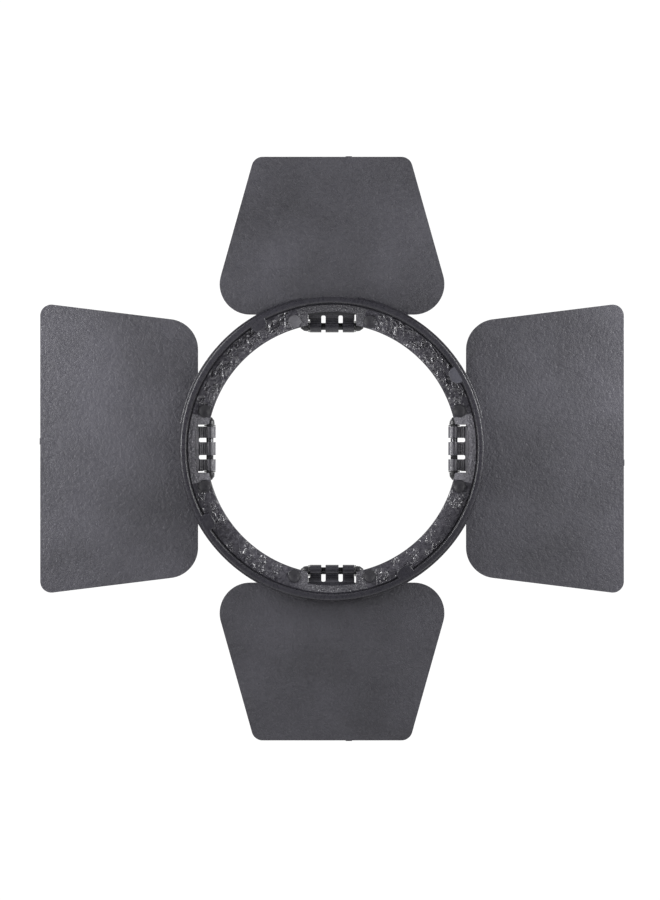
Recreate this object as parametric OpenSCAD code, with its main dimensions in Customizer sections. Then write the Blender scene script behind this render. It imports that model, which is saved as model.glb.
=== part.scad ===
// Barn door attachment: a round bayonet ring that plugs on to the front of a
// small lamp, with four light-shaping leaves on pinned friction hinges.
//
// Millimetres. Y is the optical axis: the lamp is on the -Y side and the light
// leaves towards +Y. Z is up, X is to the right as seen from the lamp.
// The origin is the centre of the ring on its stop plane, the plane in which
// the lip meets the lamp's rim.
// All four leaves are drawn fully open, flat against the ring's front.

/* [Ring] */
// Radius of the clear light opening
aperture_r = 41.75; // [41.5:0.05:42]
// Outside radius of the spigot that plugs into the lamp
spigot_r = 50.45; // [50.2:0.05:50.9]
// How far the spigot reaches back from the stop plane
spigot_len = 4.0; // [3.4:0.1:6]
// Wall thickness of the spigot
wall_t = 1.8; // [1.5:0.1:2.1]
// Outside radius of the stop lip
lip_r = 51.25; // [51.1:0.05:52.5]
// Thickness of the stop lip along the axis
lip_t = 1.8; // [1.2:0.1:2.1]
// Thickness of the flat floor of the ring
floor_t = 2.6; // [2.4:0.1:3.2]
// How much the flank in front of the stop plane draws in
draft = 0.1; // [0.05:0.05:0.2]
// Width of the relief groove where the floor meets the spigot wall
groove_w = 0.5; // [0.3:0.05:0.8]

/* [Bayonet claws] */
// Angle at which the first claw starts, from the right-hand hinge
claw_a0 = 27.2; // [24:0.2:40]
// Angular width of a claw
claw_a = 6.7; // [5:0.1:9]
// How far a claw reaches in over the recess, as a radius
claw_r = 45.8; // [45.8:0.1:47.5]
// Thickness of a claw along the axis
claw_t = 1.6; // [1.2:0.1:2]

/* [Hinges] */
// Distance of the hinge pins from the optical axis
hinge_r = 40.8; // [40.6:0.05:41]
// Radius of a hinge pin
pin_r = 1.2; // [1.1:0.05:1.3]
// Length of a hinge pin
pin_len = 20.3; // [19.8:0.1:20.8]
// Radius of the tapered hub that holds each end of the pin
hub_r = 1.62; // [1.5:0.02:1.8]
// Radius of the leaf's knuckles
knuckle_r = 2.0; // [1.9:0.05:2.1]
// Radial running clearance between knuckle and pin
run_clear = 0.05; // [0.03:0.01:0.08]
// Half the width of the ring's notch around the knuckles
notch_hw = 8.0; // [7.9:0.05:8.2]
// Radius of the notch's concentric outer edge
notch_r = 45.6; // [45.5:0.05:46.2]
// Thickness of a friction washer
washer_t = 0.4; // [0.3:0.05:0.45]

/* [Leaves] */
// Thickness of a leaf
leaf_t = 1.5; // [1.2:0.1:1.7]
// Distance of a leaf's inner edge from the optical axis
leaf_in = 44.75; // [44.7:0.05:45.1]
// Distance of a leaf's outer edge from the optical axis
leaf_out = 97.45; // [85:0.5:110]
// Half width of a top or bottom leaf at its inner edge, before rounding
small_hw_in = 40.8; // [36:0.2:41]
// Half width of a top or bottom leaf at its outer edge
small_hw_out = 26.0; // [20:0.5:34]
// Half width of a side leaf at its inner edge, before rounding
side_hw_in = 42.1; // [38:0.2:43]
// Half width of a side leaf at its outer edge
side_hw_out = 48.6; // [42:0.5:50]
// Radius of a leaf's two inner corners
leaf_rc_in = 10.2; // [6:0.2:12]
// Radius of a leaf's two outer corners
leaf_rc_out = 3.75; // [2:0.25:8]

/* [Hidden] */
$fn = 96;

// Hinge positions round the ring, as turns about Y from the top
TOP = 0; RIGHT = 90; BOTTOM = 180; LEFT = 270;

// The hinge axis stands just clear of the ring's front face
hinge_y = floor_t + pin_r + 0.05;
bore_r = pin_r + run_clear;

// Knuckle row, as [from, to] along the pin: two outer and one middle knuckle
KNUCKLES = [[-7.4, -3.57], [-2.17, 2.17], [3.57, 7.4]];

// Pin clamps: where they start and end along the pin
clamp_x0 = notch_hw;
clamp_x1 = 14.9;
// Everything on the ring stays inside this radius about the hinge axis, so
// that the inner edge of the leaf can swing past it
swing_r = leaf_in - hinge_r - 0.4;
// Clamp screws sit beyond the ends of the pin
screw_x = 12.55;
screw_z = 42.4;
screw_shank_r = 0.8;
screw_head_r = 1.5;
screw_seat_y = floor_t + 1.9;
screw_len = 4.0;
// Smooth discs on the ring's floor, the blind backs of the screw bosses
boss_r = 2.2;
boss_h = 0.3;

light_black = "#3b3a40";
leaf_grey = "#4c4b52";
pin_steel = "#26262a";
screw_steel = "#5a5a5e";
nylon = "#2e2e31";

// A 2D outline in (X, Z), made into a plate from y0 to y1
module slab(y0, y1) {
    translate([0, y1, 0]) rotate([90, 0, 0]) linear_extrude(y1 - y0) children();
}

// A 2D wedge from angle a0 to a1, measured from +X towards +Z
module wedge(a0, a1, r = 70) {
    n = ceil((a1 - a0) / 15);
    polygon(concat([[0, 0]], [for (i = [0:n]) let (a = a0 + (a1 - a0) * i / n) [r * cos(a), r * sin(a)]]));
}

// A cylinder along X from x0 to x1 about the hinge axis
module along_pin(r, x0, x1) {
    translate([x0, hinge_y, hinge_r]) rotate([0, 90, 0]) cylinder(r = r, h = x1 - x0);
}

function unit(v) = v / norm(v);

// Points of the rounding of corner p, between the edges from a and to b, with
// radius r; the outline runs anticlockwise
function rounded_corner(a, p, b, r, n = 14) =
    let (
        d1 = unit(p - a), d2 = unit(b - p),
        n1 = [-d1[1], d1[0]], n2 = [-d2[1], d2[0]],
        c = p + r * (n1 + n2) / (1 + n1 * n2),
        a1 = atan2(-n1[1], -n1[0]), a2 = atan2(-n2[1], -n2[0]),
        turn = (a2 - a1 + 720) % 360
    ) [for (i = [0:n]) c + r * [cos(a1 + turn * i / n), sin(a1 + turn * i / n)]];

function leaf_outline(hw_in, hw_out) =
    let (
        p = [[-hw_in, leaf_in], [hw_in, leaf_in], [hw_out, leaf_out], [-hw_out, leaf_out]],
        r = [leaf_rc_in, leaf_rc_in, leaf_rc_out, leaf_rc_out]
    ) [for (i = [0:3]) each rounded_corner(p[(i + 3) % 4], p[i], p[(i + 1) % 4], r[i])];

// The whole ring is one moulding
module ring_body() {
    color(light_black) difference() {
        union() {
            // Floor, spigot wall and relief groove as one turned section
            rotate([-90, 0, 0]) rotate_extrude() polygon([
                [aperture_r, 0.2], [aperture_r + 0.2, 0],
                [spigot_r - wall_t - groove_w, 0], [spigot_r - wall_t - groove_w, 0.5],
                [spigot_r - wall_t, 0.5], [spigot_r - wall_t, -spigot_len + 0.3],
                [spigot_r - wall_t + 0.3, -spigot_len], [spigot_r - 0.3, -spigot_len],
                [spigot_r, -spigot_len + 0.3], [spigot_r, 0],
                [spigot_r - draft, floor_t - 0.4],
                [spigot_r - draft - 0.4, floor_t], [aperture_r + 0.4, floor_t],
                [aperture_r, floor_t - 0.4]
            ]);
            // Stop lip in four arcs, left out beside the hinges
            for (k = [0:3]) slab(0, lip_t) intersection() {
                difference() { circle(lip_r); circle(spigot_r - 0.5); }
                wedge(11.4 + 90 * k, 80.5 + 90 * k);
            }
            // Bayonet claws reach in from the spigot's rear rim
            for (k = [0:3]) slab(-spigot_len, -spigot_len + claw_t) intersection() {
                circle(spigot_r - 0.3);
                let (a = claw_a0 + 90 * k, b = a + claw_a)
                polygon([for (q = [
                    [spigot_r + 2, a], [claw_r + 1.4, a], [claw_r + 0.5, a + 0.5], [claw_r, a + 1.5],
                    [claw_r, b - 1.5], [claw_r + 0.5, b - 0.5], [claw_r + 1.4, b], [spigot_r + 2, b]
                ]) q[0] * [cos(q[1]), sin(q[1])]]);
            }
            // Smooth discs at the blind backs of the screw holes
            for (k = [0:3], s = [-1, 1]) rotate([0, 90 * k, 0])
                translate([s * screw_x, 0, screw_z]) rotate([90, 0, 0]) cylinder(r = boss_r, h = boss_h);
        }
        for (k = [0:3]) rotate([0, 90 * k, 0]) {
            // Notch that lets the knuckles turn
            slab(-1, floor_t + 1) intersection() {
                translate([-notch_hw, 30]) square([2 * notch_hw, 20]);
                circle(notch_r);
            }
            // Blind screw holes, drilled from the front
            for (s = [-1, 1]) translate([s * screw_x, floor_t + 1, screw_z]) rotate([90, 0, 0])
                cylinder(r = screw_shank_r + 0.02, h = 1 + floor_t - 0.35, $fn = 32);
        }
    }
}

// A leaf, drawn at the top; gate is where its moulding gate sits along the
// outer edge
module leaf(hw_in, hw_out, gate) {
    difference() {
        union() {
            slab(hinge_y - leaf_t / 2, hinge_y + leaf_t / 2) polygon(leaf_outline(hw_in, hw_out));
            for (k = KNUCKLES) {
                translate([k[0], hinge_y - leaf_t / 2, hinge_r]) cube([k[1] - k[0], leaf_t, leaf_in - hinge_r + 1]);
                along_pin(knuckle_r, k[0], k[1]);
            }
            // Trimmed moulding gate
            translate([gate - 1.1, hinge_y - 0.45, leaf_out - 0.5]) cube([2.2, 0.9, 0.75]);
        }
        along_pin(bore_r, -8, 8);
    }
}
module leaf_top() color(leaf_grey) rotate([0, TOP, 0]) leaf(small_hw_in, small_hw_out, 5.6);
module leaf_right() color(leaf_grey) rotate([0, RIGHT, 0]) leaf(side_hw_in, side_hw_out, 4.7);
module leaf_bottom() color(leaf_grey) rotate([0, BOTTOM, 0]) leaf(small_hw_in, small_hw_out, -5.6);
module leaf_left() color(leaf_grey) rotate([0, LEFT, 0]) leaf(side_hw_in, side_hw_out, 2.4);

// Steel hinge pin with chamfered ends
module hinge_pin(where) {
    color(pin_steel) rotate([0, where, 0]) translate([-pin_len / 2, hinge_y, hinge_r])
        rotate([0, 90, 0]) rotate_extrude($fn = 48) polygon([
            [0, 0], [0.35, 0], [pin_r, 0.9], [pin_r, pin_len - 0.9], [0.35, pin_len], [0, pin_len]
        ]);
}
module hinge_pin_top() hinge_pin(TOP);
module hinge_pin_right() hinge_pin(RIGHT);
module hinge_pin_bottom() hinge_pin(BOTTOM);
module hinge_pin_left() hinge_pin(LEFT);

// Clamp that holds one end of a pin down on the ring's front face
module pin_clamp(where, side) {
    color(light_black) rotate([0, where, 0]) mirror([side < 0 ? 1 : 0, 0, 0]) difference() {
        union() {
            difference() {
                intersection() {
                    along_pin(swing_r, clamp_x0, clamp_x1);
                    translate([clamp_x0, floor_t, hinge_r - 0.3]) cube([clamp_x1 - clamp_x0, 10, 10]);
                }
                // The lower half stands on the ring only
                slab(floor_t - 1, hinge_y) circle(aperture_r + 0.4);
            }
            // Tapered hub round the end of the pin, kept clear of the ring
            difference() {
                translate([0, hinge_y, hinge_r]) rotate([0, 90, 0]) rotate_extrude($fn = 64) polygon([
                    [0, clamp_x0], [hub_r, clamp_x0], [hub_r, clamp_x0 + 0.3],
                    [pin_r + 0.3, pin_len / 2 - 0.85], [0.7, pin_len / 2 + 0.3], [0, pin_len / 2 + 0.3]
                ]);
                slab(floor_t - 1, floor_t) difference() { circle(hinge_r + 10); circle(aperture_r - 0.1); }
            }
        }
        // Socket for the tapered end of the pin
        translate([0, hinge_y, hinge_r]) rotate([0, 90, 0]) rotate_extrude() polygon([
            [0, clamp_x0 - 1], [pin_r + 0.02, clamp_x0 - 1], [pin_r + 0.02, pin_len / 2 - 0.88],
            [0.37, pin_len / 2 + 0.05], [0, pin_len / 2 + 0.05]
        ]);
        // Screw hole and counterbore
        translate([screw_x, floor_t - 1, screw_z]) rotate([-90, 0, 0])
            cylinder(r = screw_shank_r + 0.1, h = 12, $fn = 32);
        translate([screw_x, screw_seat_y, screw_z]) rotate([-90, 0, 0])
            cylinder(r = screw_head_r + 0.12, h = 12, $fn = 48);
    }
}
module pin_clamp_top_a() pin_clamp(TOP, -1);
module pin_clamp_top_b() pin_clamp(TOP, 1);
module pin_clamp_right_a() pin_clamp(RIGHT, -1);
module pin_clamp_right_b() pin_clamp(RIGHT, 1);
module pin_clamp_bottom_a() pin_clamp(BOTTOM, -1);
module pin_clamp_bottom_b() pin_clamp(BOTTOM, 1);
module pin_clamp_left_a() pin_clamp(LEFT, -1);
module pin_clamp_left_b() pin_clamp(LEFT, 1);

// The two screws of one hinge, cross-recessed
module clamp_screws(where) {
    color(screw_steel) rotate([0, where, 0]) for (s = [-1, 1])
        translate([s * screw_x, screw_seat_y, screw_z]) rotate([-90, 0, 0]) difference() {
            union() {
                cylinder(r = screw_head_r, h = 0.9, $fn = 48);
                translate([0, 0, -screw_len]) cylinder(r = screw_shank_r, h = screw_len + 0.1, $fn = 32);
            }
            translate([0, 0, 0.9]) {
                cube([1.9, 0.4, 0.9], center = true);
                cube([0.4, 1.9, 0.9], center = true);
            }
        }
}
module clamp_screws_top() clamp_screws(TOP);
module clamp_screws_right() clamp_screws(RIGHT);
module clamp_screws_bottom() clamp_screws(BOTTOM);
module clamp_screws_left() clamp_screws(LEFT);

// The two friction washers of one hinge, one at each end of the knuckle row
module friction_washers(where) {
    color(nylon) rotate([0, where, 0]) for (s = [-1, 1]) difference() {
        x0 = s > 0 ? 7.5 : -7.5 - washer_t;
        along_pin(knuckle_r - 0.1, x0, x0 + washer_t);
        along_pin(bore_r, x0 - 1, x0 + 2);
    }
}
module friction_washers_top() friction_washers(TOP);
module friction_washers_right() friction_washers(RIGHT);
module friction_washers_bottom() friction_washers(BOTTOM);
module friction_washers_left() friction_washers(LEFT);

ring_body();
leaf_top();
leaf_right();
leaf_bottom();
leaf_left();
hinge_pin_top();
hinge_pin_right();
hinge_pin_bottom();
hinge_pin_left();
pin_clamp_top_a();
pin_clamp_top_b();
pin_clamp_right_a();
pin_clamp_right_b();
pin_clamp_bottom_a();
pin_clamp_bottom_b();
pin_clamp_left_a();
pin_clamp_left_b();
clamp_screws_top();
clamp_screws_right();
clamp_screws_bottom();
clamp_screws_left();
friction_washers_top();
friction_washers_right();
friction_washers_bottom();
friction_washers_left();
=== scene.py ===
# Looks of the barn door attachment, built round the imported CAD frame.
import math

import bmesh
import bpy
import numpy as np
from mathutils import Matrix, Vector


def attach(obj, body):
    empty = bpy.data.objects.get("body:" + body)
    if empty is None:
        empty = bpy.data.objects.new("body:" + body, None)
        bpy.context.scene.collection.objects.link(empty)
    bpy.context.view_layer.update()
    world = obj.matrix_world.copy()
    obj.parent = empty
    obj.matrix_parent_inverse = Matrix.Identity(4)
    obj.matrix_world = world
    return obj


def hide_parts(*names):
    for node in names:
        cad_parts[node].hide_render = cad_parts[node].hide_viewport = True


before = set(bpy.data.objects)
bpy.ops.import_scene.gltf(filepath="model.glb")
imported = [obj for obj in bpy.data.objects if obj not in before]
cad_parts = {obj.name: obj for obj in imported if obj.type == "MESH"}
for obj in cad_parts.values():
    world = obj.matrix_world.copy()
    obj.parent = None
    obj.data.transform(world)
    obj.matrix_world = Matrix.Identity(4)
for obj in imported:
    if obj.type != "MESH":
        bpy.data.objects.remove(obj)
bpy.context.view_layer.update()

MM = 0.001

# ---------------------------------------------------------------- dimensions
APERTURE_R, SPIGOT_R, LIP_R = 41.75, 50.45, 51.25
WALL_IN, GROOVE_IN = 48.65, 48.15
SPIGOT_LEN, FLOOR_T, LIP_T = 4.0, 2.6, 1.8
NOTCH_HW, NOTCH_R = 8.0, 45.6
CLAW_A0, CLAW_A, CLAW_R, CLAW_T = 27.2, 6.7, 45.8, 1.6
HINGE_R, HINGE_Y = 40.8, 3.85
KNUCKLE_R, BORE_R = 2.0, 1.25
KNUCKLES = [(-7.4, -3.57), (-2.17, 2.17), (3.57, 7.4)]
LEAF_T, LEAF_IN, LEAF_OUT = 1.5, 44.75, 97.45
BOSS_X, BOSS_Z, BOSS_R, BOSS_H = 12.55, 42.4, 2.2, 0.3
SIDES = {"top": 0, "right": 1, "bottom": 2, "left": 3}


# ---------------------------------------------------------------- mesh helpers
def turn(points, k):
    """Points (t, y, rho) drawn at the top hinge, turned to hinge k."""
    p = np.asarray(points, float)
    t, y, rho = p[:, 0], p[:, 1], p[:, 2]
    x, z = [(t, rho), (rho, -t), (-t, -rho), (-rho, t)][k]
    return np.stack([x, y, z], 1)


def make(name, verts_mm, faces, mats=(), face_mats=None):
    mesh = bpy.data.meshes.new(name)
    mesh.from_pydata((np.asarray(verts_mm, float) * MM).tolist(), [], faces)
    for m in mats:
        mesh.materials.append(m)
    if face_mats is not None:
        mesh.polygons.foreach_set("material_index", np.asarray(face_mats, np.int32))
    mesh.update()
    o = bpy.data.objects.new(name, mesh)
    bpy.context.scene.collection.objects.link(o)
    return o


def outward(o):
    """Makes all normals of a closed mesh point outwards."""
    bm = bmesh.new()
    bm.from_mesh(o.data)
    bmesh.ops.recalc_face_normals(bm, faces=bm.faces)
    bm.to_mesh(o.data)
    bm.free()


def shade(o, angle=35.0):
    o.data.polygons.foreach_set("use_smooth", np.ones(len(o.data.polygons), bool))
    o.data.set_sharp_from_angle(angle=math.radians(angle))
    o.data.update()


def applied(o):
    """Replaces the object's mesh by what its modifiers make of it."""
    bpy.context.view_layer.update()
    dg = bpy.context.evaluated_depsgraph_get()
    made = bpy.data.meshes.new_from_object(o.evaluated_get(dg), depsgraph=dg)
    o.modifiers.clear()
    old = o.data
    o.data = made
    bpy.data.meshes.remove(old)
    made.name = o.name


def boolean(o, others, how):
    """o with each of the others cut out or joined in, one after another."""
    for b in others:
        m = o.modifiers.new("cut", "BOOLEAN")
        m.operation = how
        m.solver = "MANIFOLD"
        m.material_mode = "TRANSFER"
        m.object = b
        applied(o)
        bpy.data.objects.remove(b)


def tidied(o):
    """Closes up the hair-thin slivers that cuts leave, and drops any loose island but the largest."""
    bm = bmesh.new()
    bm.from_mesh(o.data)
    bmesh.ops.remove_doubles(bm, verts=bm.verts, dist=2e-6)
    bmesh.ops.dissolve_degenerate(bm, edges=bm.edges, dist=1e-6)
    bm.faces.ensure_lookup_table()
    bm.faces.index_update()
    seen, islands = set(), []
    for f in bm.faces:
        if f.index in seen:
            continue
        seen.add(f.index)
        island, front = [], [f]
        while front:
            g = front.pop()
            island.append(g)
            for e in g.edges:
                for h in e.link_faces:
                    if h.index not in seen:
                        seen.add(h.index)
                        front.append(h)
        islands.append(island)
    islands.sort(key=len)
    stray = [f for island in islands[:-1] for f in island]
    if stray:
        bmesh.ops.delete(bm, geom=stray, context="FACES")
    bm.to_mesh(o.data)
    bm.free()


def extruded(name, outline, y0, y1, mats=(), bevel=0.0, segments=3):
    """A closed plate from an outline in (t, rho), with its rim edges rounded. Points come back as (t, y, rho)."""
    n = len(outline)
    bm = bmesh.new()
    low = [bm.verts.new((p[0], y0, p[1])) for p in outline]
    high = [bm.verts.new((p[0], y1, p[1])) for p in outline]
    bm.faces.new(low)
    bm.faces.new(high[::-1])
    for i in range(n):
        j = (i + 1) % n
        bm.faces.new((low[i], high[i], high[j], low[j]))
    bmesh.ops.recalc_face_normals(bm, faces=bm.faces)
    if bevel:
        rim = [e for e in bm.edges if abs(e.verts[0].co.y - e.verts[1].co.y) < 1e-9]
        bmesh.ops.bevel(bm, geom=rim, offset=bevel, segments=segments, profile=0.5, affect="EDGES", clamp_overlap=True)
    bm.verts.index_update()
    verts = [v.co[:] for v in bm.verts]
    faces = [[v.index for v in f.verts] for f in bm.faces]
    bm.free()
    return verts, faces


def tube(r, x0, x1, n=64, chamfer=0.0):
    """A cylinder along the hinge pin as (t, y, rho) points and faces."""
    rings = [(x0, r)] if not chamfer else [(x0, r - chamfer), (x0 + chamfer, r)]
    rings += [(x1, r)] if not chamfer else [(x1 - chamfer, r), (x1, r - chamfer)]
    verts, faces = [], []
    for x, q in rings:
        for i in range(n):
            a = 2 * math.pi * i / n
            verts.append((x, HINGE_Y + q * math.sin(a), HINGE_R + q * math.cos(a)))
    for s in range(len(rings) - 1):
        for i in range(n):
            j = (i + 1) % n
            faces.append([s * n + i, s * n + j, (s + 1) * n + j, (s + 1) * n + i])
    faces.append(list(range(n))[::-1])
    faces.append([(len(rings) - 1) * n + i for i in range(n)])
    return verts, faces


# ---------------------------------------------------------------- seeded noise
class Noise2:
    """Smooth value noise on a lattice, the same each run."""

    def __init__(self, seed):
        self.table = np.random.default_rng(seed).uniform(-1, 1, (256, 256))

    def __call__(self, x, y):
        xi, yi = np.floor(x).astype(int), np.floor(y).astype(int)
        fx, fy = x - xi, y - yi
        fx, fy = fx * fx * fx * (fx * (fx * 6 - 15) + 10), fy * fy * fy * (fy * (fy * 6 - 15) + 10)
        g = lambda a, b: self.table[a & 255, b & 255]
        top = g(xi, yi) * (1 - fx) + g(xi + 1, yi) * fx
        low = g(xi, yi + 1) * (1 - fx) + g(xi + 1, yi + 1) * fx
        return top * (1 - fy) + low * fy


def smooth(a, b, v):
    t = np.clip((v - a) / (b - a), 0, 1)
    return t * t * (3 - 2 * t)


# ---------------------------------------------------------------- materials
def new_material(name, base, roughness, specular=0.5, metallic=0.0, coat=0.0, coat_roughness=0.1):
    m = bpy.data.materials.new(name)
    m.use_nodes = True
    nt = m.node_tree
    p = nt.nodes["Principled BSDF"]
    p.inputs["Base Color"].default_value = (*base, 1)
    p.inputs["Roughness"].default_value = roughness
    p.inputs["Specular IOR Level"].default_value = specular
    p.inputs["Metallic"].default_value = metallic
    if coat:
        p.inputs["Coat Weight"].default_value = coat
        p.inputs["Coat Roughness"].default_value = coat_roughness
    m.diffuse_color = (*base, 1)
    coord = nt.nodes.new("ShaderNodeTexCoord")
    return m, nt, p, coord


def noise_node(nt, coord, scale, detail=3.0, rough=0.55, distortion=0.0):
    n = nt.nodes.new("ShaderNodeTexNoise")
    n.inputs["Scale"].default_value = scale
    n.inputs["Detail"].default_value = detail
    n.inputs["Roughness"].default_value = rough
    n.inputs["Distortion"].default_value = distortion
    nt.links.new(coord, n.inputs["Vector"])
    return n


def ramp(nt, fac, stops):
    r = nt.nodes.new("ShaderNodeValToRGB")
    while len(r.color_ramp.elements) < len(stops):
        r.color_ramp.elements.new(0.5)
    for e, (pos, col) in zip(r.color_ramp.elements, stops):
        e.position = pos
        e.color = (*col, 1) if hasattr(col, "__len__") else (col, col, col, 1)
    nt.links.new(fac, r.inputs["Fac"])
    return r


def bump(nt, height, strength, distance, normal=None):
    b = nt.nodes.new("ShaderNodeBump")
    b.inputs["Strength"].default_value = strength
    b.inputs["Distance"].default_value = distance
    nt.links.new(height, b.inputs["Height"])
    if normal is not None:
        nt.links.new(normal, b.inputs["Normal"])
    return b


def moulded(name, base, roughness, grain_scale, grain, spread=0.12, specular=0.5, rough_spread=0.06):
    """Spark-eroded moulded plastic: a fine two-scale grain, a slight mottling of the colour, and gloss that varies with it."""
    m, nt, p, coord = new_material(name, base, roughness, specular)
    c = coord.outputs["Object"]
    fine = noise_node(nt, c, grain_scale, 2.0, 0.6)
    coarse = noise_node(nt, c, grain_scale * 0.42, 2.0, 0.5)
    cloud = noise_node(nt, c, 34.0, 3.0, 0.5)
    b1 = bump(nt, coarse.outputs["Fac"], 1.0, grain * 1.2)
    b2 = bump(nt, fine.outputs["Fac"], 1.0, grain, b1.outputs["Normal"])
    nt.links.new(b2.outputs["Normal"], p.inputs["Normal"])
    mottle = nt.nodes.new("ShaderNodeMath")
    mottle.operation = "MULTIPLY_ADD"
    nt.links.new(fine.outputs["Fac"], mottle.inputs[0])
    mottle.inputs[1].default_value = 0.55
    nt.links.new(cloud.outputs["Fac"], mottle.inputs[2])
    lo = [v * (1 - spread) for v in base]
    hi = [v * (1 + spread) for v in base]
    col = ramp(nt, mottle.outputs["Value"], [(0.52, lo), (1.0, hi)])
    nt.links.new(col.outputs["Color"], p.inputs["Base Color"])
    r = ramp(nt, coarse.outputs["Fac"], [(0.3, roughness - rough_spread), (0.7, roughness + rough_spread)])
    nt.links.new(r.outputs["Color"], p.inputs["Roughness"])
    return m


LEAF = moulded("leaf_plastic", (0.0360, 0.0350, 0.0423), 0.46, 1750.0, 0.00014, spread=0.34, rough_spread=0.08)
RING = moulded("ring_plastic_satin", (0.022, 0.0212, 0.0265), 0.29, 2600.0, 0.00003, spread=0.2)
# The grained strips beside the hinges come in two copies: a lighter one for the left and right hinges (painted light)
# and a darker one for the top and bottom hinges (painted shade).
HINGE_STRIP_PAINTED_LIT = moulded("ring_plastic_grained_painted_lit", (0.118, 0.115, 0.130), 0.30, 1500.0, 0.00040, spread=0.4, specular=0.6)
HINGE_STRIP_PAINTED_SHADE = moulded("ring_plastic_grained_painted_shade", (0.055, 0.0535, 0.062), 0.30, 1500.0, 0.00036, spread=0.4, specular=0.6)
# The knuckles and arms come in two copies of one glossier plastic: a darker one for the top and bottom hinges (painted
# shade) and a lighter one for the left and right hinges (painted light), not wear.
KNUCKLE_PAINTED_SHADE = moulded("leaf_plastic_polished_painted_shade", (0.022, 0.0213, 0.0262), 0.30, 1750.0, 0.00004, spread=0.25, rough_spread=0.05)
KNUCKLE_PAINTED_LIT = moulded("leaf_plastic_polished_painted_lit", (0.078, 0.076, 0.087), 0.30, 1750.0, 0.00006, spread=0.3, rough_spread=0.05)
DISC = moulded("ring_plastic_smooth", (0.019, 0.0183, 0.0225), 0.42, 2600.0, 0.00002)
# One disc, at the top hinge on the left, is given a paler colour than the rest.
DISC_PALER = moulded("ring_plastic_smooth_paler", (0.082, 0.080, 0.090), 0.5, 2600.0, 0.00004)
CLAW_PALE = moulded("ring_plastic_claw", (0.055, 0.055, 0.067), 0.36, 2600.0, 0.00004, spread=0.3)
CLAMP = moulded("clamp_plastic", (0.016, 0.016, 0.018), 0.38, 2600.0, 0.00002)
NYLON = moulded("washer_nylon", (0.013, 0.013, 0.014), 0.5, 3200.0, 0.00001)


def crinkled(name):
    """The ring's rough floor: gloss black with flow marks finer than the mesh."""
    base = (0.060, 0.058, 0.068)
    m, nt, p, coord = new_material(name, base, 0.2, 0.8)
    c = coord.outputs["Object"]
    n1 = noise_node(nt, c, 800.0, 3.0, 0.6, 0.8)
    n2 = noise_node(nt, c, 2600.0, 2.0, 0.6)
    b1 = bump(nt, n1.outputs["Fac"], 1.0, 0.00005)
    b2 = bump(nt, n2.outputs["Fac"], 1.0, 0.00003, b1.outputs["Normal"])
    nt.links.new(b2.outputs["Normal"], p.inputs["Normal"])
    col = ramp(nt, n1.outputs["Fac"], [(0.3, (0.028, 0.0268, 0.033)), (0.75, (0.086, 0.083, 0.097))])
    nt.links.new(col.outputs["Color"], p.inputs["Base Color"])
    r = ramp(nt, n1.outputs["Fac"], [(0.35, 0.14), (0.65, 0.28)])
    nt.links.new(r.outputs["Color"], p.inputs["Roughness"])
    return m


CRINKLE = crinkled("ring_plastic_flow_marked")


def steel(name, base, roughness, along):
    """Drawn or turned steel: streaks along or round its length."""
    m, nt, p, coord = new_material(name, base, roughness, 0.5, metallic=1.0)
    c = coord.outputs["Object"]
    mp = nt.nodes.new("ShaderNodeMapping")
    mp.inputs["Scale"].default_value = along
    nt.links.new(c, mp.inputs["Vector"])
    n = noise_node(nt, mp.outputs["Vector"], 1.0, 3.0, 0.6)
    b = bump(nt, n.outputs["Fac"], 0.6, 0.000008)
    nt.links.new(b.outputs["Normal"], p.inputs["Normal"])
    col = ramp(nt, n.outputs["Fac"], [(0.3, [v * 0.75 for v in base]), (0.7, [v * 1.25 for v in base])])
    nt.links.new(col.outputs["Color"], p.inputs["Base Color"])
    r = ramp(nt, n.outputs["Fac"], [(0.3, roughness - 0.06), (0.7, roughness + 0.08)])
    nt.links.new(r.outputs["Color"], p.inputs["Roughness"])
    return m


# Pins along z (left and right hinges) get a lighter base than pins along x (top and bottom hinges): painted light on
# the side pins, painted shade on the others.
PIN_X_PAINTED_SHADE = steel("pin_steel_x_painted_shade", (0.045, 0.045, 0.048), 0.24, (300, 9000, 9000))
PIN_Z_PAINTED_LIT = steel("pin_steel_z_painted_lit", (0.060, 0.060, 0.064), 0.22, (9000, 9000, 300))
SCREW = steel("screw_black_zinc", (0.10, 0.10, 0.105), 0.34, (2500, 2500, 2500))


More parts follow.
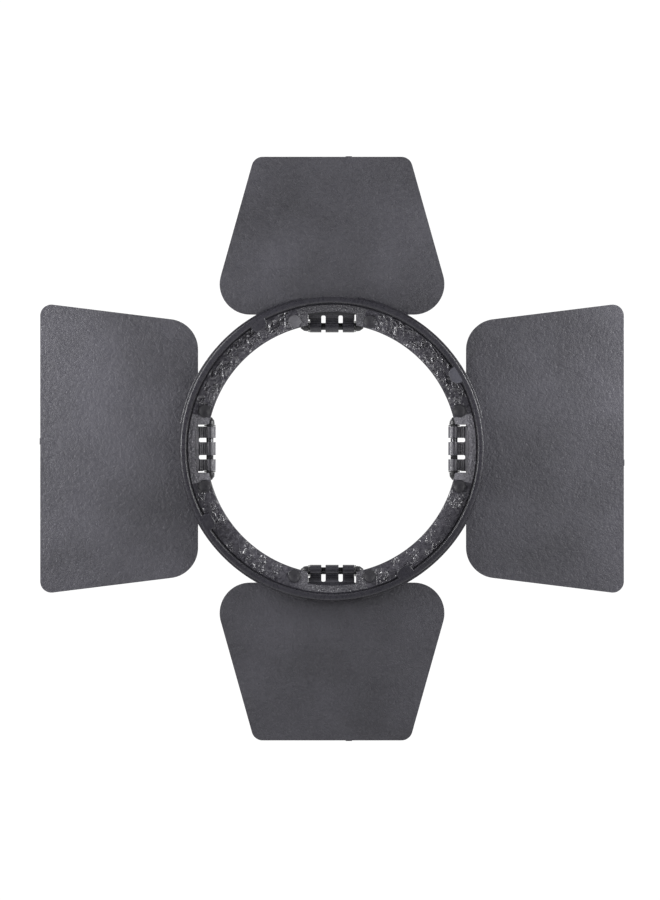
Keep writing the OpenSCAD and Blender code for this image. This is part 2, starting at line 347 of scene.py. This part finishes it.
# ---------------------------------------------------------------- the ring
def ring_piece():
    # Columns round the ring, with close pairs at the ends of the lip's arcs
    lip_ends = [a + 90 * k for k in range(4) for a in (11.4, 80.5)]
    phi = np.linspace(0, 360, 1620, endpoint=False)
    keep = np.ones(len(phi), bool)
    for e in lip_ends:
        keep &= np.abs(phi - e) > 0.13
    phi = np.sort(np.concatenate([phi[keep], [e + s for e in lip_ends for s in (-0.05, 0.05)]]))
    n = len(phi)
    q = (phi + 45) % 90 - 45  # angle from the nearest hinge
    in_lip = np.abs(q) > 10.4
    in_lip = ((phi % 90) > 11.4) & ((phi % 90) < 80.5)

    floor_r = np.linspace(41.95, 48.02, 46)
    prof = [(41.75, 0.28), (41.79, 0.10)]
    f0 = len(prof)
    prof += [(r, 0.0) for r in floor_r]
    f1 = len(prof)
    prof += [
        (48.10, 0.01), (48.15, 0.04), (48.19, 0.09), (48.26, 0.13), (48.56, 0.13), (48.65, 0.09),
        (48.65, -0.6), (48.65, -3.60), (48.69, -3.80), (48.80, -3.94), (48.97, -4.0),
        (50.12, -4.0), (50.29, -3.95), (50.41, -3.82), (50.45, -3.65), (50.45, -1.2),
    ]
    l0 = len(prof)
    lip = [
        (50.45, -0.13), (50.50, -0.03), (50.62, 0.0), (51.03, 0.0), (51.16, 0.03), (51.23, 0.11), (51.25, 0.22),
        (51.25, 1.60), (51.21, 1.73), (51.09, 1.8), (50.55, 1.8), (50.45, 1.86),
    ]
    prof += lip
    l1 = len(prof)
    prof += [(50.45, 2.15), (50.39, 2.37), (50.24, 2.52), (50.02, 2.6)]
    prof += [(r, 2.6) for r in np.linspace(49.0, 43.0, 7)]
    prof += [(42.15, 2.6), (41.92, 2.54), (41.79, 2.40), (41.75, 2.18), (41.75, 1.2)]
    prof = np.array(prof)
    m = len(prof)
    R = np.repeat(prof[:, 0][None], n, 0)
    Y = np.repeat(prof[:, 1][None], n, 0)
    # Where the lip is left out the wall runs straight through
    flat_y = np.linspace(-0.13, 1.86, l1 - l0)
    R[~in_lip, l0:l1] = SPIGOT_R
    Y[~in_lip, l0:l1] = flat_y

    # Rough, flow-marked floor between the hinges
    a = np.radians(phi)[:, None]
    rr = R[:, f0:f1]
    xx, zz = rr * np.cos(a), rr * np.sin(a)
    N1, N2, N3, N4, N5, N6 = (Noise2(s) for s in (11, 23, 37, 41, 59, 67))
    warp_x = 0.7 * N1(xx / 1.9 + 40, zz / 1.9 + 40)
    warp_z = 0.7 * N2(xx / 1.9 + 80, zz / 1.9 + 20)
    x, z = xx + warp_x, zz + warp_z
    swirl = 0.8 * N3(xx / 5 + 9, zz / 5 + 5) + a  # ridges run across the ring, and wander
    v = x * np.cos(swirl) + z * np.sin(swirl)
    u = -x * np.sin(swirl) + z * np.cos(swirl)
    ripple = 1 - np.abs(N4(u / 0.62 + 100, v / 1.7 + 100))
    folds = 1 - np.abs(N5(x / 1.55 + 100, z / 1.55 + 100))
    lumps = N6(x / 0.9 + 100, z / 0.9 + 100)
    grit = N1(xx / 0.34 + 300, zz / 0.34 + 300)
    fold2 = 1 - np.abs(N2(xx / 0.62 + 33, zz / 0.62 + 71))
    sheet = N3(xx / 3.1 + 12, zz / 3.1 + 55)
    arc = np.radians(phi)[:, None] * 45.0
    flow = 1 - np.abs(N6((arc + 1.6 * warp_x) / 2.6 + 20, (rr + 0.9 * warp_z) / 1.0 + 20))
    h = 0.32 * (folds ** 4 - 0.25) + 0.05 * (ripple ** 2 - 0.5) + 0.03 * (fold2 ** 3 - 0.3) + 0.26 * (flow ** 3 - 0.3)
    h += 0.07 * lumps + 0.05 * sheet + 0.006 * grit
    # Strength: patchy between the hinges, strongest at the upper left, and nothing beside the hinges
    aq = np.abs(q)[:, None]
    level = 1.00 + 0.26 * np.sin(np.radians(phi))
    for mid, wide, gain in (
        (65, 9, 0.65), (38, 8, 0.25), (111, 4, 0.6), (121, 6, 0.6), (132, 8, 0.6), (146, 5, 0.55), (158, 4, 0.4),
        (212, 16, 0.18), (30, 14, 0.1), (315, 34, -0.12), (290, 4, 0.4), (245, 12, 0.05),
    ):
        level += gain * np.exp(-(((phi - mid) / wide) ** 2))
    patch = level[:, None] * (0.25 + 0.95 * smooth(-0.3, 0.45, N2(xx / 2.3 + 60, zz / 2.3 + 60)))
    strength = smooth(15.5, 19.5, aq) * patch
    edge = smooth(41.95, 42.4, rr) * smooth(48.02, 47.6, rr)
    fine = 0.028 * N1(xx / 0.30 + 500, zz / 0.30 + 500) + 0.02 * N4(xx / 0.42 + 50, zz / 0.42 + 90)
    height = h * strength * (0.35 + 0.65 * edge) + fine * (1 - smooth(15.5, 19.5, aq)) * edge
    Y[:, f0:f1] -= np.clip(height, -0.26, 0.42) * np.where(edge > 0, 1, 0.3)
    X = R * np.cos(a)
    Z = R * np.sin(a)
    verts = np.stack([X, Y, Z], 2).reshape(-1, 3)
    faces, mats = [], []
    for i in range(n):
        j = (i + 1) % n
        rough_here = abs(q[i]) > 14.2
        # Left and right hinge strips take the painted-light copy, top and bottom strips the painted-shade copy.
        strip = 2 if abs(math.cos(math.radians(phi[i]))) > 0.7 else 4
        for s in range(m):
            t = (s + 1) % m
            faces.append((i * m + s, i * m + t, j * m + t, j * m + s))
            mats.append((1 if rough_here else strip) if f0 <= s < f1 - 1 else 0)
    ring = make("ring_body_moulding", verts, faces, (RING, CRINKLE, HINGE_STRIP_PAINTED_LIT, DISC, HINGE_STRIP_PAINTED_SHADE), mats)
    outward(ring)

    # Claws with rounded edges
    claws = []
    for k in range(4):
        a0, a1 = CLAW_A0 + 90 * k, CLAW_A0 + CLAW_A + 90 * k
        pts = [(49.9, a0), (CLAW_R + 2.0, a0), (CLAW_R + 1.1, a0 + 0.28), (CLAW_R + 0.45, a0 + 0.85), (CLAW_R + 0.1, a0 + 1.7)]
        pts += [(CLAW_R, a0 + 2.6), (CLAW_R, a1 - 2.6)]
        pts += [(CLAW_R + 0.1, a1 - 1.7), (CLAW_R + 0.45, a1 - 0.85), (CLAW_R + 1.1, a1 - 0.28), (CLAW_R + 2.0, a1), (49.9, a1)]
        pts += [(49.9, a1 - s * CLAW_A / 6) for s in range(1, 6)]
        outline = [(r * math.cos(math.radians(p)), r * math.sin(math.radians(p))) for r, p in pts]
        v, f = extruded("claw", outline, -SPIGOT_LEN - 0.0, -SPIGOT_LEN + CLAW_T, bevel=0.34, segments=4)
        v = [(p[0], max(p[1], -SPIGOT_LEN + 0.001), p[2]) for p in v]
        c = make("claw", v, f, (CLAW_PALE if k == 0 else RING,))
        outward(c)
        claws.append(c)
    # Smooth discs at the backs of the screw bosses
    discs = []
    for k in range(4):
        for s in (-1, 1):
            v, f = [], []
            rings = [(BOSS_R, 0.6), (BOSS_R, -BOSS_H + 0.12), (BOSS_R - 0.04, -BOSS_H + 0.05), (BOSS_R - 0.12, -BOSS_H), (BOSS_R - 0.45, -BOSS_H), (BOSS_R - 0.5, -BOSS_H + 0.03)]
            c = 48
            for r, y in rings:
                for i in range(c):
                    b = 2 * math.pi * i / c
                    v.append((s * BOSS_X + r * math.cos(b), y, BOSS_Z + r * math.sin(b)))
            for w in range(len(rings) - 1):
                for i in range(c):
                    j = (i + 1) % c
                    f.append((w * c + i, w * c + j, (w + 1) * c + j, (w + 1) * c + i))
            f.append(tuple(range(c))[::-1])
            f.append(tuple((len(rings) - 1) * c + i for i in range(c)))
            d = make("disc", turn(v, k), f, (DISC_PALER if (k, s) == (0, -1) else DISC,))
            outward(d)
            discs.append(d)
    boolean(ring, claws + discs, "UNION")

    # Notches for the knuckles, with their edges broken
    cuts = []
    for k in range(4):
        v, f = [], []
        layers = [(-0.9, 1.05), (0.15, 0.0), (2.42, 0.0), (3.4, 0.98)]
        for y, d in layers:
            hw, r = NOTCH_HW + d, NOTCH_R + d
            e = math.asin(hw / r)
            arc = [(r * math.sin(b), r * math.cos(b)) for b in np.linspace(-e, e, 40)]
            for p in [(-hw, 30.0)] + arc + [(hw, 30.0)]:
                v.append((p[0], y, p[1]))
        c = len(v) // len(layers)
        for w in range(len(layers) - 1):
            for i in range(c):
                j = (i + 1) % c
                f.append((w * c + i, w * c + j, (w + 1) * c + j, (w + 1) * c + i))
        f.append(tuple(range(c))[::-1])
        f.append(tuple((len(layers) - 1) * c + i for i in range(c)))
        o = make("notch", turn(v, k), f, (RING,))
        outward(o)
        cuts.append(o)
    boolean(ring, cuts, "DIFFERENCE")
    tidied(ring)
    shade(ring, 38)
    return ring


# ---------------------------------------------------------------- the leaves
def corner(a, p, b, r, n):
    """Points of the arc of radius r that rounds corner p; it may be concave."""
    a, p, b = (np.array(w, float) for w in (a, p, b))
    d1, d2 = (p - a) / np.linalg.norm(p - a), (b - p) / np.linalg.norm(b - p)
    cross = d1[0] * d2[1] - d1[1] * d2[0]
    s = 1 if cross > 0 else -1
    n1, n2 = np.array([-d1[1], d1[0]]) * s, np.array([-d2[1], d2[0]]) * s
    c = p + r * (n1 + n2) / (1 + n1 @ n2)
    t1, t2 = math.atan2(-n1[1], -n1[0]), math.atan2(-n2[1], -n2[0])
    turned = (t2 - t1) * s % (2 * math.pi)
    return [(c[0] + r * math.cos(t1 + s * turned * i / n), c[1] + r * math.sin(t1 + s * turned * i / n)) for i in range(n + 1)]


def leaf_outline(hw_in, hw_out, gate, lo, hi):
    """Outline in (t, rho), anticlockwise from the inner left corner: roots of the arms, slot ends, corners and the trimmed gate. lo and hi are the outer sides of the end arms."""
    root, slot = 43.95, LEAF_IN - 0.3
    pts = [((-hw_in, LEAF_IN), 10.2, 20), ((lo, LEAF_IN), 0.2, 3), ((lo, root), 0, 0)]
    for a, b in zip(KNUCKLES, KNUCKLES[1:]):
        pts += [((a[1], root), 0, 0), ((a[1], slot), 0.46, 6), ((b[0], slot), 0.46, 6), ((b[0], root), 0, 0)]
    pts += [((hi, root), 0, 0), ((hi, LEAF_IN), 0.2, 3)]
    pts += [((hw_in, LEAF_IN), 10.2, 20), ((hw_out, LEAF_OUT), 3.75, 14)]
    pts += [((gate + 1.1, LEAF_OUT), 0.1, 2), ((gate + 1.0, LEAF_OUT + 0.2), 0.1, 2), ((gate - 1.0, LEAF_OUT + 0.2), 0.1, 2), ((gate - 1.1, LEAF_OUT), 0.1, 2)]
    pts += [((-hw_out, LEAF_OUT), 3.75, 14)]
    out = []
    for i, (p, r, n) in enumerate(pts):
        if r:
            out += corner(pts[i - 1][0], p, pts[(i + 1) % len(pts)][0], r, n)
        else:
            out.append(p)
    return out


def leaf_piece(side, hw_in, hw_out, gate, lo, hi):
    k = SIDES[side]
    v, f = extruded("leaf", leaf_outline(hw_in, hw_out, gate, lo, hi), HINGE_Y - LEAF_T / 2, HINGE_Y + LEAF_T / 2, bevel=0.30, segments=4)
    leaf = make("leaf_%s_panel" % side, turn(v, k), f, (LEAF,))
    outward(leaf)
    # Section of a knuckle and its arm: the barrel, a rib, and an arm that thins towards the barrel
    plate = LEAF_T / 2 - 0.012
    back = [(0.86, -1.42), (0.92, -1.30), (1.34, -1.49), (1.42, -1.44), (1.47, -1.02), (1.52, -0.96), (1.94, -1.15), (2.01, -1.10)]
    slope = [(2.06, -0.72), (2.12, -0.66), (2.60, -0.87), (2.66, -0.82), (2.71, -0.58), (3.20, -0.80), (3.25, -0.76), (3.30, -0.56), (3.78, -plate)]
    fil = 0.55
    cx = math.sqrt((KNUCKLE_R + fil) ** 2 - (plate + fil) ** 2)
    t0 = math.atan2(plate + fil, cx)
    sec = [(4.3, plate)]
    sec += [(cx - fil * math.sin(w), plate + fil - fil * math.cos(w)) for w in np.linspace(0, math.pi / 2 - t0, 6)]
    sec += [(KNUCKLE_R * math.cos(w), KNUCKLE_R * math.sin(w)) for w in np.linspace(t0, 2 * math.pi - math.acos(-0.36 / KNUCKLE_R), 50)]
    sec += [(-0.26, -1.74), (0.20, -1.72)]
    sec += [(KNUCKLE_R * math.cos(w), KNUCKLE_R * math.sin(w)) for w in 2 * math.pi - np.arccos(np.linspace(0.30, 0.80, 8) / KNUCKLE_R)]
    sec += back + slope + [(4.3, -plate)]
    arm = [(2.3, plate), (2.3, -0.739)] + slope[2:] + [(4.3, -plate)]
    runs = [(a, b, sec, 41.9) for a, b in KNUCKLES] + [(lo, KNUCKLES[0][0] + 0.2, arm, 0), (KNUCKLES[2][1] - 0.2, hi, arm, 0)]
    # A pad under the notch edge in the knuckle colour: painted light on the left and right leaves, painted shade on the
    # top and bottom leaves.
    pad = [(3.72, 0.3), (3.72, -plate - 0.02), (3.80, -plate - 0.05), (4.74, -plate - 0.28), (4.84, -plate - 0.2), (4.86, 0.3)]
    runs.append((lo, hi, pad, 0))
    parts = []
    for a, b, outline, reach in runs:
        bm = bmesh.new()
        low = [bm.verts.new((a, HINGE_Y + y, HINGE_R + r)) for r, y in outline]
        high = [bm.verts.new((b, HINGE_Y + y, HINGE_R + r)) for r, y in outline]
        bm.faces.new(low)
        bm.faces.new(high[::-1])
        for i in range(len(outline)):
            j = (i + 1) % len(outline)
            bm.faces.new((low[i], high[i], high[j], low[j]))
        bmesh.ops.recalc_face_normals(bm, faces=bm.faces)
        rim = [e for e in bm.edges if abs(e.verts[0].co.x - e.verts[1].co.x) < 1e-9 and max(u.co.z for u in e.verts) < reach]
        if rim:
            bmesh.ops.bevel(bm, geom=rim, offset=0.14, segments=2, profile=0.5, affect="EDGES", clamp_overlap=True)
        bm.verts.index_update()
        vv = [q.co[:] for q in bm.verts]
        ff = [[q.index for q in g.verts] for g in bm.faces]
        bm.free()
        # Left and right knuckles take the painted-light copy, top and bottom knuckles the painted-shade copy.
        o = make("knuckle", turn(vv, k), ff, (KNUCKLE_PAINTED_LIT if k % 2 else KNUCKLE_PAINTED_SHADE,))
        outward(o)
        parts.append(o)
    boolean(leaf, parts, "UNION")
    v, f = tube(BORE_R, -9, 9, 48)
    bore = make("bore", turn(v, k), f, (LEAF,))
    outward(bore)
    boolean(leaf, [bore], "DIFFERENCE")
    tidied(leaf)
    shade(leaf, 40)
    w = leaf.modifiers.new("even_normals", "WEIGHTED_NORMAL")
    w.keep_sharp = True
    w.weight = 80
    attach(leaf, side + "_leaf")
    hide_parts("leaf_" + side)
    return leaf


ring = ring_piece()
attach(ring, "ring")
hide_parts("ring_body")
leaf_piece("top", 40.8, 26.0, 5.6, -7.93, 7.5)
leaf_piece("right", 42.1, 48.6, 4.7, -7.5, 7.55)
leaf_piece("bottom", 40.8, 26.0, -5.6, -7.45, 7.93)
leaf_piece("left", 42.1, 48.6, 2.4, -7.55, 7.4)


# ---------------------------------------------------------------- hardware
def dress(node, material, bevel=0.0, segments=2):
    """A CAD part that stays as it is: welded, its edges broken, with its own material."""
    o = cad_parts[node]
    o.data.materials.clear()
    o.data.materials.append(material)
    w = o.modifiers.new("weld", "WELD")
    w.merge_threshold = 1e-6
    if bevel:
        b = o.modifiers.new("edges", "BEVEL")
        b.width = bevel * MM
        b.segments = segments
        b.limit_method = "ANGLE"
        b.angle_limit = math.radians(40)
        b.harden_normals = False
    return o


for side in SIDES:
    dress("hinge_pin_" + side, PIN_X_PAINTED_SHADE if side in ("top", "bottom") else PIN_Z_PAINTED_LIT)
    for ab in "ab":
        dress("pin_clamp_%s_%s" % (side, ab), CLAMP, 0.18, 3)
    dress("clamp_screws_" + side, SCREW, 0.06, 2)
    dress("friction_washers_" + side, NYLON, 0.04, 1)

# ---------------------------------------------------------------- studio
scene = bpy.context.scene
scene.view_settings.view_transform = "Standard"
scene.view_settings.look = "None"

floor_mesh = bpy.data.meshes.new("studio_floor")
floor_mesh.from_pydata([(-2, -2, -0.42), (2, -2, -0.42), (2, 2, -0.42), (-2, 2, -0.42)], [], [(0, 1, 2, 3)])
floor = bpy.data.objects.new("studio_floor", floor_mesh)
scene.collection.objects.link(floor)
fm, fnt, fp, fcoord = new_material("studio_floor_paper", (0.86, 0.86, 0.86), 0.8, 0.2)
fp.inputs["Emission Color"].default_value = (1.0, 1.0, 1.0, 1)
fp.inputs["Emission Strength"].default_value = 0.22
fn = noise_node(fnt, fcoord.outputs["Object"], 3.0, 2.0)
fc = ramp(fnt, fn.outputs["Fac"], [(0.3, (0.85, 0.85, 0.85)), (0.7, (0.88, 0.88, 0.88))])
fnt.links.new(fc.outputs["Color"], fp.inputs["Base Color"])
floor_mesh.materials.append(fm)

world = bpy.data.worlds.new("studio")
scene.world = world
world.use_nodes = True
wt = world.node_tree
wt.nodes.clear()
out = wt.nodes.new("ShaderNodeOutputWorld")
mix = wt.nodes.new("ShaderNodeMixShader")
path = wt.nodes.new("ShaderNodeLightPath")
seen = wt.nodes.new("ShaderNodeBackground")
seen.inputs["Color"].default_value = (1, 1, 1, 1)
seen.inputs["Strength"].default_value = 1.05
lit = wt.nodes.new("ShaderNodeBackground")
tc = wt.nodes.new("ShaderNodeTexCoord")
sep = wt.nodes.new("ShaderNodeSeparateXYZ")
wt.links.new(tc.outputs["Generated"], sep.inputs["Vector"])
wr = wt.nodes.new("ShaderNodeMapRange")
wr.inputs["From Min"].default_value = 0.0
wr.inputs["From Max"].default_value = 0.3
wr.inputs["To Min"].default_value = 0.02
wr.inputs["To Max"].default_value = 1.0
wt.links.new(sep.outputs["Y"], wr.inputs["Value"])
wt.links.new(wr.outputs["Result"], lit.inputs["Strength"])
wt.links.new(path.outputs["Is Camera Ray"], mix.inputs["Fac"])
wt.links.new(lit.outputs["Background"], mix.inputs[1])
wt.links.new(seen.outputs["Background"], mix.inputs[2])
wt.links.new(mix.outputs["Shader"], out.inputs["Surface"])


def softbox(name, place, at, size, watts):
    light = bpy.data.lights.new(name, "AREA")
    light.shape = "RECTANGLE"
    light.size, light.size_y = size
    light.energy = watts
    o = bpy.data.objects.new(name, light)
    scene.collection.objects.link(o)
    o.location = place
    o.rotation_mode = "QUATERNION"
    o.rotation_quaternion = (Vector(at) - Vector(place)).to_track_quat("-Z", "Y")
    o.visible_camera = False
    return o


softbox("strip_left", (-0.19, -0.075, 0.05), (-0.07, 0, 0.02), (0.03, 0.16), 0.50)
softbox("strip_right", (0.19, -0.075, 0.055), (0.07, 0, 0.02), (0.03, 0.16), 0.40)
softbox("soft_left", (-0.45, -0.34, 0.22), (-0.02, 0, 0), (0.14, 0.4), 1.00)
softbox("soft_right", (0.45, -0.34, 0.22), (0.02, 0, 0), (0.14, 0.4), 1.30)
softbox("front_left", (-0.30, -0.48, 0.08), (0, 0, 0), (0.07, 0.22), 0.44)
softbox("front_right", (0.30, -0.48, 0.08), (0, 0, 0), (0.07, 0.22), 0.50)
softbox("soft_overhead", (0.0, -0.45, 0.52), (0, 0, 0), (0.30, 0.20), 0.12)
softbox("ahead_left", (-0.65, 0.75, 0.45), (0, 0, 0), (0.5, 0.4), 5.0)
softbox("ahead_right", (0.75, 0.60, 0.10), (0, 0, 0), (0.25, 0.6), 3.0)

# The photograph's view: square on to the rear of the ring, from far away
cam_data = bpy.data.cameras.new("camera")
cam = bpy.data.objects.new("camera", cam_data)
scene.collection.objects.link(cam)
DIST = 1.8
PX = 1 / 3 * MM
cam_data.sensor_width = 36.0
cam_data.lens = 36.0 * DIST / (900 * PX)
cam_data.clip_start, cam_data.clip_end = 0.05, 50
cam.location = (-2.05 * PX, -DIST, -1.4 * PX)
cam.rotation_euler = (math.radians(90), 0, 0)
scene.camera = cam
